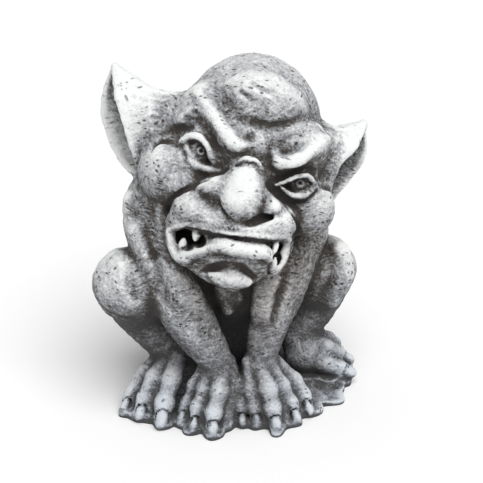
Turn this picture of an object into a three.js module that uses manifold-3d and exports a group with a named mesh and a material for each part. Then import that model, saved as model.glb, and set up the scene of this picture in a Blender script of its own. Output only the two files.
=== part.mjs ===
// A squatting gargoyle, cast as one piece of stone, about 300 mm tall.
//
// The figure faces -Y and sits on a thin ragged base. Its hands are on the ground between its feet,
// its knees stand out at either side, and its great head is turned a little to its right and leans
// to its left. "right" and "left" are the figure's own: its right is -X and its left is +X.
//
// The body is built as a modeller builds it in clay. Rounded lumps and tapering bones are laid over
// one another and joined, then hollows such as the mouth and the eye sockets are cut.
// Units are millimetres. The origin is in the middle of the flat underside.

import * as THREE from "three";
import { mergeVertices } from "three/addons/utils/BufferGeometryUtils.js";
import { ConvexGeometry } from "three/addons/geometries/ConvexGeometry.js";
import Module from "manifold-3d";

const wasm = await Module();
wasm.setup();

// ---- driving dimensions

const FACET = 21; // the edge that a facet of a lump has, about
const SLIM = 19; // a bone no thicker than this has plainer ends
const BASE_THICK = 8; // how thick the ragged base is
const GROUND_CUT = 40; // how deep the cutting block reaches below the ground
const HEAD_AT = [9.7, -1.4, 215]; // the middle of the head, between the ears
const HEAD_TURN = -12; // degrees; below zero turns the face to the figure's right
const HEAD_RAISE = 10; // degrees that the face looks up
const HEAD_LEAN = 10; // degrees that the crown leans to the figure's left
const SKULL = [57, 64, 61]; // the half width, half depth and half height of the bald dome
const EYE = 11; // the radius of an eyeball
const EAR_WALL = 4; // half the thickness of an ear at its rim
const EAR_ROOT = 7; // half its thickness where it grows out of the head
const SPINE_KNOBS = 5;
const WRIST = 12;
const ANKLE = 15;

// ---- clay: the shapes that everything is made of

const radians = THREE.MathUtils.degToRad;

// A closed three.js geometry as a solid, ready to be joined or cut.
function solid(geometry) {
  const bare = new THREE.BufferGeometry().setAttribute("position", geometry.getAttribute("position").clone());
  if (geometry.index) bare.setIndex(geometry.index.clone());
  const merged = mergeVertices(bare, 1e-3);
  const corners = merged.index.array;
  const triangles = [];
  for (let i = 0; i < corners.length; i += 3) {
    const [a, b, c] = corners.slice(i, i + 3);
    if (a !== b && b !== c && a !== c) triangles.push(a, b, c);
  }
  return new wasm.Manifold(
    new wasm.Mesh({
      numProp: 3,
      vertProperties: new Float32Array(merged.attributes.position.array),
      triVerts: new Uint32Array(triangles),
    }),
  );
}

// A ball stretched to three radii, turned by three angles in degrees and put at a point.
function lump(at, radii, turn = [0, 0, 0]) {
  const rings = Math.max(2, Math.round((1.1 * Math.max(...radii)) / FACET));
  const ball = new THREE.IcosahedronGeometry(1, rings - 1);
  const spin = new THREE.Quaternion().setFromEuler(new THREE.Euler(...turn.map(radians), "XYZ"));
  ball.applyMatrix4(new THREE.Matrix4().compose(new THREE.Vector3(...at), spin, new THREE.Vector3(...radii)));
  return solid(ball);
}

// A straight tapering bone with round ends, turned on a lathe and laid from a to b.
function bone(a, b, radiusA, radiusB = radiusA) {
  const from = new THREE.Vector3(...a);
  const along = new THREE.Vector3(...b).sub(from);
  const length = along.length();
  const thick = Math.max(radiusA, radiusB);
  const steps = thick > SLIM ? 3 : 2;
  const profile = [];
  for (let i = 0; i <= steps; i++) {
    const t = -Math.PI / 2 + (i / steps) * (Math.PI / 2);
    profile.push(new THREE.Vector2(radiusA * Math.cos(t), radiusA * Math.sin(t)));
  }
  for (let i = 0; i <= steps; i++) {
    const t = (i / steps) * (Math.PI / 2);
    profile.push(new THREE.Vector2(radiusB * Math.cos(t), length + radiusB * Math.sin(t)));
  }
  profile[0].x = 0;
  profile[profile.length - 1].x = 0;
  const sides = THREE.MathUtils.clamp(Math.round((2 * Math.PI * thick) / FACET), 5, 9);
  const turned = new THREE.LatheGeometry(profile, sides);
  const aim = new THREE.Quaternion().setFromUnitVectors(new THREE.Vector3(0, 1, 0), along.normalize());
  turned.applyMatrix4(new THREE.Matrix4().compose(from, aim, new THREE.Vector3(1, 1, 1)));
  return solid(turned);
}

// Bones end to end through several points, with a radius at each point.
function chain(points, radii) {
  return points.slice(1).map((p, i) => bone(points[i], p, radii[i], radii[i + 1]));
}

// The hull of several small balls.
function hull(points, radii) {
  const skin = points.flatMap((p, i) => {
    const ball = new THREE.IcosahedronGeometry(radii[i], 0).translate(...p).getAttribute("position");
    return Array.from({ length: ball.count }, (_, n) => new THREE.Vector3().fromBufferAttribute(ball, n));
  });
  return solid(new ConvexGeometry(skin));
}

const join = (solids) => solids.reduce((all, s) => all.add(s));

// ---- the head, modelled facing -Y about its own middle

// An ear is a pointed cup that opens outwards. Its wall is made of petals: each spans from a stretch
// of the rim to the root. The rim starts and ends at the tip, and its lowest point is its lobe.
function ear(rim, rootTop, rootLow) {
  const lobe = rim.indexOf(rim.reduce((low, p) => (p[2] < low[2] ? p : low)));
  const rootAt = (i) => {
    const down = i <= lobe ? i / lobe : (rim.length - i) / (rim.length - lobe);
    return rootTop.map((v, axis) => THREE.MathUtils.lerp(v, rootLow[axis], down));
  };
  return rim.map((p, i) => {
    const next = (i + 1) % rim.length;
    return hull([p, rim[next], rootAt(i), rootAt(next)], [EAR_WALL, EAR_WALL, EAR_ROOT, EAR_ROOT]);
  });
}

const EARS = [
  ear(
    [[-118, 4, 52], [-107, -6, 28], [-94, -10, 8], [-82, -10, -14], [-90, 10, -28], [-112, 20, -10], [-122, 16, 16]],
    [-52, 4, 24],
    [-54, 6, -10],
  ),
  ear(
    [[90, 4, 42], [82, -6, 22], [74, -9, 4], [70, -10, -14], [78, 8, -22], [92, 16, -6], [95, 15, 16]],
    [50, 4, 26],
    [52, 6, -10],
  ),
];

function head() {
  const stone = [
    lump([0, 8, 20], SKULL), // the bald dome
    lump([1, -6, -20], [60, 54, 46]), // the face behind the cheeks
    lump([-36, -20, 26], [28, 36, 27]), // the temples and the shelf that the brows lie on
    lump([38, -20, 14], [26, 38, 24]),
    lump([0, -38, 20], [26, 26, 22]),
    // The heavy brows: each falls to the nose and hooks up again at its inner end.
    ...chain([[-48, -20, 38], [-39, -46, 28], [-20, -62, 8], [-8, -62, 13]], [9, 11, 10, 7]),
    ...chain([[53, -16, 24], [39, -48, 13], [19, -62, 4], [9, -61, 12]], [9, 11, 10, 7]),
    lump([-60, -32, -23], [22, 24, 24]), // the right cheek
    lump([58, -30, -28], [22, 24, 23]), // the left cheek
    // The nose: a bridge, a heavy bulb and a wing at each side.
    ...chain([[0, -60, 8], [0, -74, -9], [-1, -82, -22]], [10, 14, 17]),
    lump([-22, -70, -20], [12, 12, 9]),
    lump([22, -70, -25], [12, 12, 10]),
    // The muzzle: an upper lip of two pouches over a broad, jutting jaw.
    lump([-26, -48, -44], [27, 31, 22]),
    lump([26, -48, -42], [26, 31, 21]),
    lump([0, -58, -44], [28, 26, 16]),
    lump([0, -40, -58], [36, 36, 18]),
    lump([0, -40, -73], [40, 40, 21]),
    lump([6, -57, -86], [19, 20, 13]),
    ...chain(
      [[-40, -52, -75], [-20, -71, -64], [0, -79, -59], [22, -73, -60], [36, -55, -71]],
      [8, 10, 11, 10, 8],
    ),
    // The hinge of the jaw runs up beside the cheeks.
    ...chain([[-40, -40, -70], [-54, -12, -46]], [14, 18]),
    ...chain([[38, -40, -70], [52, -10, -46]], [14, 18]),
  ];
  const hollows = [
    lump([-38, -62, 6], [17, 14, 12], [0, 12, 0]), // the eye sockets
    lump([41, -62, -5], [17, 14, 12], [0, -6, 0]),
    ...chain([[-46, -62, -66], [-30, -74, -60]], [7, 5]), // the mouth, open at its corners
    ...chain([[44, -62, -62], [34, -72, -60]], [6, 5]),
    lump([23, -80, -34], [9, 8, 5]), // the nostrils
    lump([-22, -78, -33], [8, 8, 6]),
  ];
  const eyes = [lump([-38, -49, 5], [EYE, EYE, EYE]), lump([41, -49, -6], [EYE, EYE, EYE])];
  return join([...stone, ...EARS.flat()]).subtract(join(hollows)).add(join(eyes));
}

function placedHead() {
  const turn = new THREE.Matrix4()
    .makeRotationZ(radians(HEAD_TURN))
    .multiply(new THREE.Matrix4().makeRotationX(radians(-HEAD_RAISE)))
    .multiply(new THREE.Matrix4().makeRotationY(radians(HEAD_LEAN)))
    .setPosition(...HEAD_AT);
  return head().transform(turn.toArray());
}

// ---- the body

function torso() {
  const spine = Array.from({ length: SPINE_KNOBS }, (_, i) => {
    const t = radians(-20 + 28 * i);
    return lump([2, 30 + 46 * Math.cos(t), 116 + 68 * Math.sin(t)], [9, 8, 8]);
  });
  return [
    lump([0, 28, 120], [60, 47, 78], [-10, 0, 0]), // the hunched back
    lump([2, 38, 48], [62, 44, 44]), // the haunches
    lump([-2, -6, 112], [36, 26, 44]), // the chest, behind the arms
    lump([4, 10, 172], [52, 44, 36]), // the thick neck
    ...spine,
  ];
}

// Each arm: the shoulder, the elbow, the wrist, and the knuckles and tips of four fingers.
const ARMS = [
  {
    shoulder: [-62, 4, 172],
    elbow: [-50, -30, 106],
    wrist: [-30, -50, 62],
    knuckles: [[-49, -46, 36], [-39, -52, 37], [-28, -55, 37], [-13, -55, 37]],
    tips: [[-58, -64, 10], [-49, -70, 9], [-36, -76, 9], [-10, -68, 8]],
    fingers: [6, 6.5, 8, 7],
  },
  {
    shoulder: [54, 8, 168],
    elbow: [33, -28, 105],
    wrist: [14, -50, 62],
    knuckles: [[2, -55, 37], [13, -57, 37], [26, -53, 36], [36, -47, 33]],
    tips: [[3, -70, 8], [18, -77, 8], [36, -70, 8], [46, -62, 8]],
    fingers: [6.5, 8, 7, 6],
  },
];

function arm({ shoulder, elbow, wrist, knuckles, tips, fingers }) {
  return [
    lump(shoulder, [29, 30, 34]),
    ...chain([shoulder, elbow, wrist], [25, 21, WRIST]),
    ...knuckles.flatMap((k, i) => chain([wrist, k, tips[i]], [WRIST - 3, fingers[i], fingers[i]])),
  ];
}

// Each leg: the knee is drawn up, and the calf falls from it to the ankle and the spread toes.
const LEGS = [
  {
    hip: [-34, 46, 78],
    knee: [-91, -12, 112],
    calf: [-83, 6, 80],
    ankle: [-58, -2, 44],
    toes: [[-72, -52, 9], [-88, -40, 8], [-99, -26, 8]],
    sizes: [9, 7.5, 7],
  },
  {
    hip: [36, 48, 76],
    knee: [78, 0, 103],
    calf: [74, 14, 76],
    ankle: [54, 2, 38],
    toes: [[93, -26, 13], [89, -14, 20], [83, -4, 26]],
    sizes: [9, 8, 7.5],
  },
];

function leg({ hip, knee, calf, ankle, toes, sizes }) {
  return [
    ...chain([hip, knee], [35, 28]),
    ...chain([knee, calf, ankle], [27, 27, ANKLE]),
    ...toes.flatMap((tip, i) => {
      const instep = tip.map((v, axis) => THREE.MathUtils.lerp(ankle[axis], v, 0.55) + (axis === 2 ? 5 : 0));
      return chain([ankle, instep, tip], [ANKLE - 3, sizes[i] + 1, sizes[i]]);
    }),
  ];
}

// The ragged base, as thick as it shows between the fingers.
function base() {
  const edge = [
    [-103, -16], [-97, -34], [-68, -58], [-52, -66], [-36, -79], [-14, -62], [18, -80], [36, -75],
    [52, -62], [62, -32], [97, -30], [97, 0], [80, 40], [50, 72], [0, 82], [-50, 72], [-84, 40],
  ].map(([x, y]) => new THREE.Vector2(x, y));
  const outline = new THREE.Shape(new THREE.SplineCurve([...edge, edge[0]]).getPoints(3 * edge.length));
  return solid(new THREE.ExtrudeGeometry(outline, { depth: BASE_THICK, bevelEnabled: false }));
}

// ---- the whole figure, cut flat where it stands

const ground = solid(new THREE.BoxGeometry(400, 400, GROUND_CUT).translate(0, 0, -GROUND_CUT / 2));
const clay = join([...torso(), ...ARMS.flatMap(arm), ...LEGS.flatMap(leg), base(), placedHead()]);

function geometryOf(made) {
  const mesh = made.getMesh();
  return new THREE.BufferGeometry()
    .setAttribute("position", new THREE.BufferAttribute(mesh.vertProperties, mesh.numProp))
    .setIndex(new THREE.BufferAttribute(mesh.triVerts, 1));
}

const castStone = new THREE.MeshStandardMaterial({ color: 0xb4b5b3, roughness: 0.9, metalness: 0 });
const gargoyle = new THREE.Mesh(geometryOf(clay.subtract(ground)), castStone);
gargoyle.name = "gargoyle";

const part = new THREE.Group();
part.add(gargoyle);
export default part;
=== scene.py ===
# %% [markdown]
# # A stone gargoyle
#
# A squatting gargoyle, cast in one piece from a mould, like the ones that sit on garden walls. It faces
# -Y on a thin ragged base, its hands are on the ground between its feet, and its great head is turned
# to its right. "right" and "left" are the figure's own: its right is -X and its left is +X.
#
# Such a figure is first modelled in clay, and the mould is taken from that. This script works the same
# way. It keeps a block of clay, adds soft lumps and rolls to it, presses hollows into it, and then casts
# its surface as one mesh. Stone paint follows: a dark wash in the hollows and a pale dry brush on the
# crests, with painted shade laid into the colour of the hollows, the undersides and the sheltered places,
# and painted light on the crests and on the faces that look up.

# %% Load the frame and measure it
import math

import bmesh
import bpy
import numpy as np
import openvdb
from mathutils import Euler, Matrix, Vector, noise


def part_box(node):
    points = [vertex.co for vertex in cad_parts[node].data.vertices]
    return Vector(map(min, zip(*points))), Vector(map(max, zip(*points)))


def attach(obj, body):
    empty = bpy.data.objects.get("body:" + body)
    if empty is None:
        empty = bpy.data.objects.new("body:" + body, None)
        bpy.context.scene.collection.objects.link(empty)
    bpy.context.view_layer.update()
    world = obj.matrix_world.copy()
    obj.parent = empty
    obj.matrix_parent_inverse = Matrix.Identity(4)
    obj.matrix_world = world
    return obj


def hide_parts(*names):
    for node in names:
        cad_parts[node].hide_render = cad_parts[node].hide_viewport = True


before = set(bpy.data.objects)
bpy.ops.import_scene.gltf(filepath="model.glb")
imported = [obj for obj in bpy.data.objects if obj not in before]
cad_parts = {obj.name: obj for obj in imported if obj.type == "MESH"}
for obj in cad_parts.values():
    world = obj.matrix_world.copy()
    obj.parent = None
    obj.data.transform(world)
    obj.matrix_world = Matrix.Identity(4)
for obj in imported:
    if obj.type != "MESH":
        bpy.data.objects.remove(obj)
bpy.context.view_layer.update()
low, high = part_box("gargoyle")
print("the figure is", [round(v, 3) for v in high - low], "m")

# %% [markdown]
# ## Working units
#
# The clay is worked in millimetres, on a figure 293.2 mm tall. The real height comes from the frame, so
# the cast always has the size that the construction says.

# %% Millimetres of clay to metres of frame
TALL = 293.2
MM = (high.z - low.z) / TALL
print("one millimetre of clay is", round(MM, 6), "m")

# %% [markdown]
# ## The clay
#
# A solid can be kept as a grid of distances: each grid point holds how far it is from the surface, and
# the number is below zero inside. Two shapes then melt together where their distances are alike, just
# as a roll of clay is smoothed into the lump it lies on, and no seam is left. A mesh boolean would leave
# a sharp seam all round, and bmesh operators alone can't melt one form into the next, so this way was
# chosen for the whole figure. Each shape only touches the grid points near it, so the work stays quick.

# %% The block of clay
VOXEL = 1.25  # the spacing of the grid, in millimetres
BLOCK_LOW = np.array([-128.0, -110.0, -6.0])
BLOCK_HIGH = np.array([122.0, 94.0, 304.0])
AIR = 30.0  # the distance that an empty grid starts with


def melt(a, b, blend):
    """The nearer of two surfaces, rounded over where they are within blend millimetres of each other."""
    near = np.maximum(blend - np.abs(a - b), 0) / blend
    return np.minimum(a, b) - near * near * (blend / 4)


class Clay:
    """A grid of distances from the surface, below zero inside."""

    def __init__(self):
        self.axes = [np.arange(a, b, VOXEL, np.float32) for a, b in zip(BLOCK_LOW, BLOCK_HIGH)]
        self.field = np.full([len(a) for a in self.axes], AIR, np.float32)

    def near(self, shape, reach):
        """The part of the grid within reach of a shape, and its points as three columns."""
        spans = []
        for axis, a, b in zip(self.axes, shape["low"] - reach, shape["high"] + reach):
            spans.append(slice(*np.searchsorted(axis, [a, b])))
        points = np.meshgrid(*(axis[s] for axis, s in zip(self.axes, spans)), indexing="ij", sparse=True)
        return tuple(spans), points

    def add(self, shape, blend=6.0):
        """Adds a shape, which melts into the clay over blend millimetres."""
        spans, points = self.near(shape, blend * 1.6 + VOXEL * 3)
        self.field[spans] = melt(self.field[spans], shape["distance"](*points), blend)

    def cut(self, shape, blend=3.0):
        """Presses a shape out of the clay, with a rounded edge."""
        spans, points = self.near(shape, blend + VOXEL * 2)
        self.field[spans] = -melt(-self.field[spans], shape["distance"](*points), blend)

    def report(self, step):
        """Prints how much clay there is after a step."""
        volume = np.count_nonzero(self.field < 0) * VOXEL**3 / 1000
        print(f"after {step} there are {volume:.0f} cubic centimetres of clay")


clay = Clay()
print("the block has", clay.field.size // 1000, "thousand grid points")

# %% [markdown]
# ## Lumps, rolls and leaves
#
# Nearly all of a figure is three shapes. A **lump** is a ball stretched along three axes. A **roll** is a
# rope of clay that follows a smooth curve and changes in thickness. A **leaf** is a flat triangle of
# rolled-out clay, for the ears. Each is made in the frame of the part it belongs to, such as the head.

# %% Where the head is
HEAD_AT = Vector((9.7, -1.4, 215))
HEAD_TURN = -12  # degrees; below zero turns the face to the figure's right
HEAD_RAISE = 10  # degrees that the face looks up
HEAD_LEAN = 10  # degrees that the crown leans to the figure's left


def turned(axis, degrees):
    """A turn about one axis, in degrees."""
    return Matrix.Rotation(math.radians(degrees), 4, axis)


BODY = Matrix.Identity(4)
HEAD = Matrix.Translation(HEAD_AT) @ turned("Z", HEAD_TURN)
HEAD = HEAD @ turned("X", -HEAD_RAISE) @ turned("Y", HEAD_LEAN)
print("the head sits at", tuple(HEAD_AT), "mm")


# %% A lump
def lump(at, radii, turn=(0, 0, 0), on=BODY):
    """A ball stretched to three radii, turned by three angles in degrees."""
    place = on @ Matrix.Translation(at) @ Euler([math.radians(t) for t in turn]).to_matrix().to_4x4()
    return stretched(place, np.array(radii, np.float32))


def stretched(place, radii):
    """A ball stretched along the three axes of a placing matrix."""
    spin = np.array(place.to_3x3(), np.float32)
    middle = np.array(place.translation, np.float32)
    half = np.sqrt(((spin * radii) ** 2).sum(1))

    def distance(x, y, z):
        px, py, pz = x - middle[0], y - middle[1], z - middle[2]
        q = [spin[0, i] * px + spin[1, i] * py + spin[2, i] * pz for i in range(3)]
        near = np.sqrt(sum((c / r) ** 2 for c, r in zip(q, radii)))
        steep = np.sqrt(sum((c / (r * r)) ** 2 for c, r in zip(q, radii)))
        return near * (near - 1) / np.maximum(steep, 1e-6)

    return {"low": middle - half, "high": middle + half, "distance": distance}


print("a lump of radii 3, 4 and 5 mm reaches", lump((0, 0, 0), (3, 4, 5))["high"].tolist(), "mm")


# %% A roll
def spline(rows, between):
    """A smooth curve through rows of numbers, with so many steps from one row to the next."""
    rows = np.array(rows, float)
    if len(rows) == 2:
        return rows[0] + np.linspace(0, 1, between + 1)[:, None] * (rows[1] - rows[0])
    ends = np.vstack([2 * rows[0] - rows[1], rows, 2 * rows[-1] - rows[-2]])
    steps = []
    for a, b, c, d in zip(ends, ends[1:], ends[2:], ends[3:]):
        for t in np.arange(between) / between:
            bend = (2 * a - 5 * b + 4 * c - d) * t**2 + (3 * b - a - 3 * c + d) * t**3
            steps.append(0.5 * (2 * b + (c - a) * t + bend))
    return np.array(steps + [rows[-1]])


def roll(points, radii, on=BODY, between=5):
    """A rope of clay along a smooth curve, with a radius at each of its points."""
    placed = [(*(on @ Vector(p)), r) for p, r in zip(points, radii)]
    path = spline(placed, between if len(points) > 2 else 1).astype(np.float32)
    centres, thick = path[:, :3], path[:, 3]

    def distance(x, y, z):
        best = None
        for a, b, ra, rb in zip(centres, centres[1:], thick, thick[1:]):
            along = b - a
            px, py, pz = x - a[0], y - a[1], z - a[2]
            t = (px * along[0] + py * along[1] + pz * along[2]) / max(float(along @ along), 1e-6)
            t = np.clip(t, 0, 1)
            gap = np.sqrt((px - t * along[0]) ** 2 + (py - t * along[1]) ** 2 + (pz - t * along[2]) ** 2)
            gap = gap - (ra + (rb - ra) * t)
            best = gap if best is None else np.minimum(best, gap)
        return best

    widest = thick.max()
    return {"low": centres.min(0) - widest, "high": centres.max(0) + widest, "distance": distance}


print("three points make a curve of", len(spline([(0, 0), (1, 1), (2, 0)], 5)), "points")


# %% A leaf
def leaf(root, a, b, thick_root, thick_rim, on=BODY):
    """A triangle of rolled-out clay from a thick root to a thin rim."""
    r, a, b = (np.array(on @ Vector(p), np.float32) for p in (root, a, b))
    edges = ((r, a), (a, b), (b, r))
    normal = np.cross(a - r, b - r)
    normal /= np.linalg.norm(normal)
    reach = max(np.linalg.norm(a - r), np.linalg.norm(b - r))

    def distance(x, y, z):
        px, py, pz = x - r[0], y - r[1], z - r[2]
        inside = True
        rim = None
        for p, q in edges:
            along = q - p
            side = np.cross(normal, along)
            sx, sy, sz = x - p[0], y - p[1], z - p[2]
            inside = inside & (sx * side[0] + sy * side[1] + sz * side[2] >= 0)
            t = np.clip((sx * along[0] + sy * along[1] + sz * along[2]) / float(along @ along), 0, 1)
            gap = (sx - t * along[0]) ** 2 + (sy - t * along[1]) ** 2 + (sz - t * along[2]) ** 2
            rim = gap if rim is None else np.minimum(rim, gap)
        flat = np.abs(px * normal[0] + py * normal[1] + pz * normal[2])
        out = np.sqrt(px * px + py * py + pz * pz) / reach
        thick = thick_root + (thick_rim - thick_root) * np.clip(out, 0, 1)
        return np.where(inside, flat, np.sqrt(rim)) - thick

    corners = np.array([r, a, b])
    return {"low": corners.min(0) - thick_root, "high": corners.max(0) + thick_root, "distance": distance}


skin = leaf((0, 0, 0), (20, 0, 0), (0, 20, 0), 4, 2)
print("a leaf of 20 mm spans", (skin["high"] - skin["low"]).tolist(), "mm")

# %% [markdown]
# ## Trunk, arms and legs
#
# The masses of the body come first and melt deeply into one another: a hunched back over heavy haunches,
# thick knees that stand out at the sides, and two strong arms that meet the ground between the feet. The
# number after a shape is how far it melts into the rest, and a big number gives soft, fleshy joins. The
# back is plain, with a low ridge of knobs for the spine.

# %% The trunk
clay.add(lump((0, 28, 120), (60, 47, 78), (-10, 0, 0)))
clay.add(lump((2, 38, 48), (62, 44, 44)), 20)
clay.add(lump((-2, -4, 112), (38, 28, 46)), 12)
clay.add(lump((4, 10, 172), (54, 44, 36)), 14)
clay.add(lump((-30, 50, 166), (20, 13, 28), (14, 0, 12)), 8)
clay.add(lump((36, 50, 162), (20, 13, 28), (14, 0, -12)), 8)
clay.cut(roll([(2, 90, 40), (2, 86, 62), (2, 80, 84)], (2, 4, 1)), 8)
clay.report("the trunk")

# %% The spine and the folds of the belly
SPINE_KNOBS = 7
spine = []
for i in range(SPINE_KNOBS):
    angle = math.radians(-24 + 16 * i)
    spine.append(Vector((2, 30 + 48 * math.cos(angle), 118 + 70 * math.sin(angle))))
for side in (-1, 1):
    hollow = [point + Vector((side * 19, 4, 0)) for point in spine[:4]]
    clay.cut(roll(hollow, (1, 3, 3, 1)), 8)
clay.add(roll(spine, (3, 5, 5, 5, 5, 5, 4)), 12)
for point in spine:
    clay.add(lump(point, (8, 7, 7)), 7)
for x, z, size in ((-17, 106, 8), (-8, 108, 8), (-13, 98, 8), (-4, 99, 7), (-12, 90, 6)):
    clay.add(lump((x, -26, z), (size, 9, size * 1.2)), 4)
clay.report("the spine")

# %% Where the legs run
LEGS = [
    {
        "hip": (-34, 46, 78), "knee": (-91, -10, 112), "calf": (-80, 8, 80), "ankle": (-58, -4, 44),
        "toes": [
            ([(-62, -2, 38), (-82, -14, 28), (-94, -23, 16), (-101, -29, 8)], 5.4),
            ([(-58, -8, 40), (-76, -27, 29), (-85, -36, 16), (-90, -43, 8)], 6.4),
            ([(-52, -14, 42), (-62, -36, 30), (-70, -48, 17), (-74, -55, 8)], 7.8),
        ],
    },
    {
        "hip": (36, 48, 76), "knee": (77, 2, 103), "calf": (76, 14, 74), "ankle": (56, 2, 40),
        "toes": [
            ([(60, -8, 28), (76, -21, 22), (87, -23, 16), (95, -23, 12)], 7.6),
            ([(62, -4, 35), (78, -12, 30), (89, -11, 23), (97, -9, 18)], 7.8),
            ([(62, 4, 38), (76, 2, 34), (86, 6, 28), (92, 10, 24)], 7.4),
        ],
    },
]
print("the legs have", [len(leg["toes"]) for leg in LEGS], "toes that show")

# %% The legs
for leg in LEGS:
    clay.add(roll([leg["hip"], leg["knee"]], (36, 29)), 12)
    clay.add(roll([leg["knee"], leg["calf"], leg["ankle"]], (28, 25, 16)), 8)
clay.add(lump((62, -8, 26), (19, 17, 18)), 6)
clay.cut(roll([(-101, -42, 142), (-93, -42, 132), (-90, -42, 116)], (3, 6, 4)), 7)
clay.cut(roll([(-116, -26, 96), (-104, -34, 90), (-92, -34, 88)], (2, 4, 3)), 6)
clay.add(roll([(88, -16, 128), (90, -22, 108), (82, -20, 84)], (8, 9, 7)), 6)
clay.cut(roll([(78, -26, 130), (76, -31, 112), (70, -28, 88), (64, -24, 70)], (2, 4, 4, 2)), 5)
clay.cut(roll([(100, -14, 122), (101, -20, 104), (94, -18, 84)], (1.5, 3, 2)), 5)
clay.report("the legs")

# %% Where the arms run
ARMS = [
    {
        "shoulder": (-62, 4, 172),
        "arm": [
            (-62, -8, 150), (-57, -24, 118), (-49, -33, 95), (-37, -41, 73), (-28, -45, 56), (-25, -47, 42),
        ],
        "thick": (26, 20, 21, 18, 14.5, 12),
        "ridge": [
            (-82, -14, 162), (-76, -24, 142), (-69, -32, 121), (-59, -42, 102), (-47, -50, 83),
            (-36, -52, 62),
        ],
        "groove": [(-74, -46, 148), (-73, -48, 131), (-66, -54, 112), (-54, -61, 92)],
        "belly": [(-60, -32, 142), (-57, -36, 130), (-48, -42, 110), (-38, -46, 92)],
        "fingers": [
            ([(-33, -44, 48), (-45, -46, 29), (-52, -51, 17), (-57, -57, 8)], 4.6),
            ([(-28, -47, 48), (-37, -55, 31), (-44, -62, 18), (-49, -69, 8)], 5.6),
            ([(-22, -50, 48), (-26, -64, 32), (-33, -72, 18), (-35, -78, 8)], 6.8),
            ([(-15, -46, 48), (-10, -57, 32), (-9, -65, 18), (-9, -71, 8)], 5.4),
        ],
    },
    {
        "shoulder": (54, 8, 168),
        "arm": [(52, -8, 146), (38, -26, 112), (28, -34, 92), (20, -40, 74), (15, -44, 58), (14, -46, 42)],
        "thick": (26, 20, 19, 16, 14, 12),
        "ridge": [(62, -8, 160), (54, -18, 138), (44, -28, 111), (31, -37, 90), (22, -44, 70)],
        "groove": [(34, -44, 124), (26, -50, 104), (20, -56, 84)],
        "belly": [(30, -30, 130), (22, -36, 112), (16, -42, 92)],
        "fingers": [
            ([(2, -50, 48), (0, -62, 31), (2, -69, 17), (3, -73, 8)], 5.6),
            ([(9, -53, 48), (14, -68, 31), (16, -76, 18), (17, -82, 8)], 6.8),
            ([(17, -50, 47), (28, -61, 29), (33, -69, 17), (36, -75, 8)], 5.8),
            ([(24, -42, 42), (40, -51, 26), (47, -58, 15), (49, -66, 8)], 6.4),
        ],
    },
]
print("the arms have", [len(arm["fingers"]) for arm in ARMS], "fingers")

# %% The arms
for arm in ARMS:
    clay.add(lump(arm["shoulder"], (29, 30, 34)), 12)
    clay.add(roll(arm["arm"], arm["thick"]), 8)
    clay.add(roll(arm["belly"], [11, 13, 12, 8][: len(arm["belly"])]), 5)
    clay.add(roll(arm["ridge"], [10] + [9] * (len(arm["ridge"]) - 2) + [6]), 6)
    clay.cut(roll(arm["groove"], [1.5] + [3] * (len(arm["groove"]) - 2) + [1.5]), 5)

# %% Folds of skin at the shoulders
SHOULDER_FOLDS = [
    ([(-86, -2, 184), (-86, -6, 166), (-82, -12, 146), (-78, -18, 130)], 7),
    ([(-70, -10, 186), (-68, -16, 168), (-66, -22, 150)], 6),
    ([(58, -2, 180), (58, -8, 162), (54, -14, 146)], 6),
]
for fold, thick in SHOULDER_FOLDS:
    clay.add(roll(fold, [thick * 0.7] + [thick] * (len(fold) - 2) + [thick * 0.6]), 6)
clay.cut(roll([(-78, -26, 184), (-77, -28, 166), (-74, -34, 146)], (3, 4, 2)), 5)
clay.report("the arms")

# %% [markdown]
# ## Fingers, toes and nails
#
# The fingers are long and bony: a tendon runs down to the knuckle, a knob stands at the middle joint, and
# each ends in a blunt nail. A nail sits in a groove, which later holds the dark wash and painted shade and
# draws its edge.

# %% Digits
WEB = 4.5  # how far the skin between two digits lies behind their middles
NAIL_GROOVE = 1.0  # how far the groove round a nail reaches past it


def digit(path, thick):
    """A finger or a toe along four points: root, knuckle, joint and tip."""
    root, knuckle, joint, tip = (Vector(p) for p in path)
    clay.add(roll(path, (thick * 1.1, thick, thick * 0.95, thick * 0.85)), 2.5)
    clay.add(lump(knuckle, (thick * 1.05, thick * 1.05, thick * 1.05)), 5)
    clay.add(lump(joint, (thick * 1.08, thick * 1.05, thick)), 4)
    down = (tip - joint).normalized()
    facing = down.to_track_quat("Z", "Y").to_matrix().to_4x4()
    out = Vector((0, -1, 0.35)).normalized()
    out = (out - down * out.dot(down)).normalized()
    nail_at = tip + out * thick * 0.34 + down * thick * 0.2
    place = Matrix.Translation(nail_at) @ facing
    nail = np.array([thick * 0.64, thick * 0.64, thick * 1.15], np.float32)
    clay.cut(stretched(place, nail + NAIL_GROOVE), 1.8)
    clay.add(stretched(place, nail), 0.6)


def web(digits):
    """The sunken skin that joins neighbouring digits down to the ground."""
    for (first, thick), (second, _) in zip(digits, digits[1:]):
        middle = [(Vector(a) + Vector(b)) / 2 + Vector((0, WEB, -WEB)) for a, b in zip(first, second)]
        clay.add(roll(middle, (thick * 1.6, thick * 1.5, thick * 1.2, thick)), 5)


# %% Hands and feet
DIGITS = [limb.get("fingers") or limb["toes"] for limb in ARMS + LEGS]
for digits in DIGITS:
    web(digits)
for digits in DIGITS:
    for path, thick in digits:
        digit(path, thick)
clay.report("the hands and feet")

# %% [markdown]
# ## The ragged base
#
# Clay squeezed out under the hands and feet makes a thin slab with a torn edge. It is made of flat oval
# pads, whose outlines are made ragged with two sine waves, and it is thicker under the left foot.

# %% One pad of the base
BASE_THICK = 4


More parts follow.
